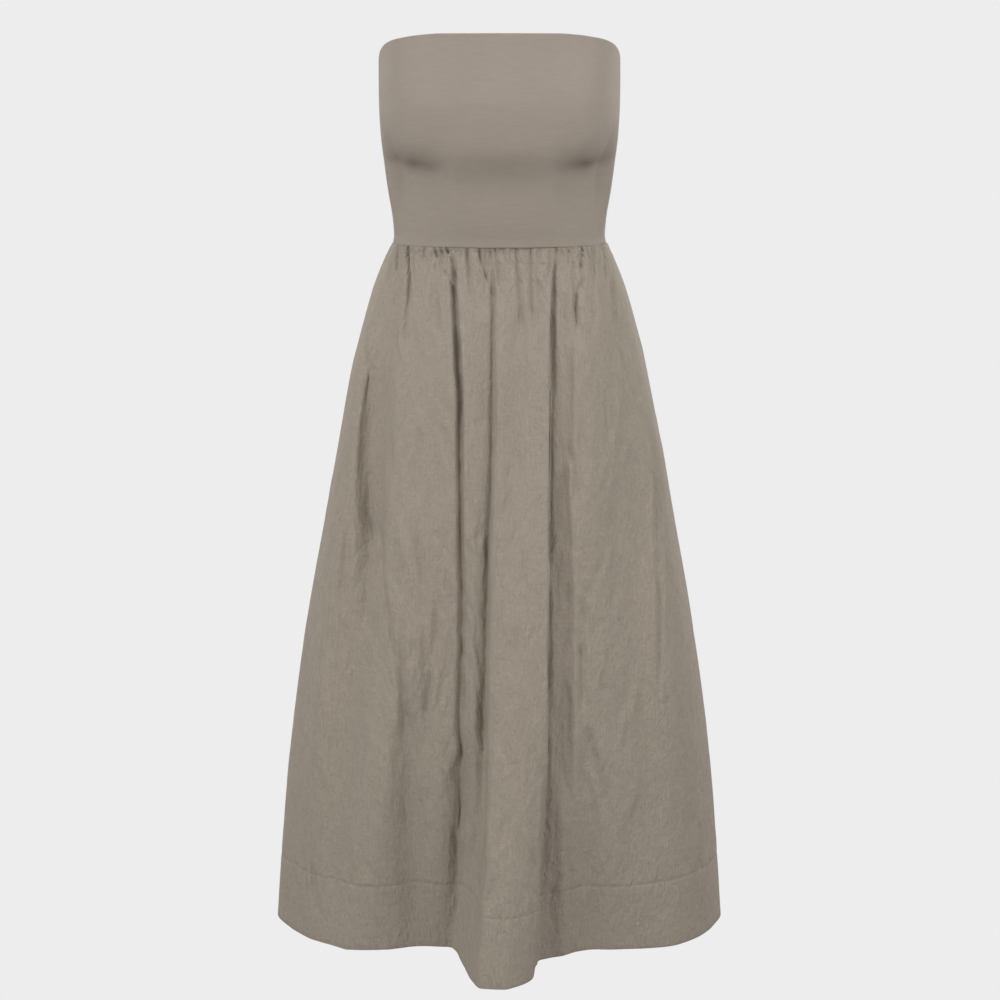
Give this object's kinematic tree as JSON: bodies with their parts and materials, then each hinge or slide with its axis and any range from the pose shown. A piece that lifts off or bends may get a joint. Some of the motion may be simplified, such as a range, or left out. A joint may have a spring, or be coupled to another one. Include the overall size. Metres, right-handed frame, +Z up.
{
  "type": "strapless dress",
  "caption": "Strapless midi dress: smooth knit tube bodice and a gathered, flared woven skirt with a deep hem, filled out with no wearer.",
  "frame": {"origin": "middle of the top opening, at the height of the front's top edge, where the dress is held round the wearer's bust", "axes": "+Z up through the neck opening, the front of the dress faces -Y, +X to the right of someone who faces it"},
  "size_m": [0.547, 0.4486, 1.0806],
  "materials": {
    "fine_knit": "smooth matte taupe jersey",
    "crinkled_woven": "matte taupe plain weave with fine crinkles"
  },
  "bodies": {
    "root": {"bodice_front": "fine_knit", "bodice_back": "fine_knit", "skirt_front": "crinkled_woven", "skirt_back": "crinkled_woven"}
  },
  "joints": []
}
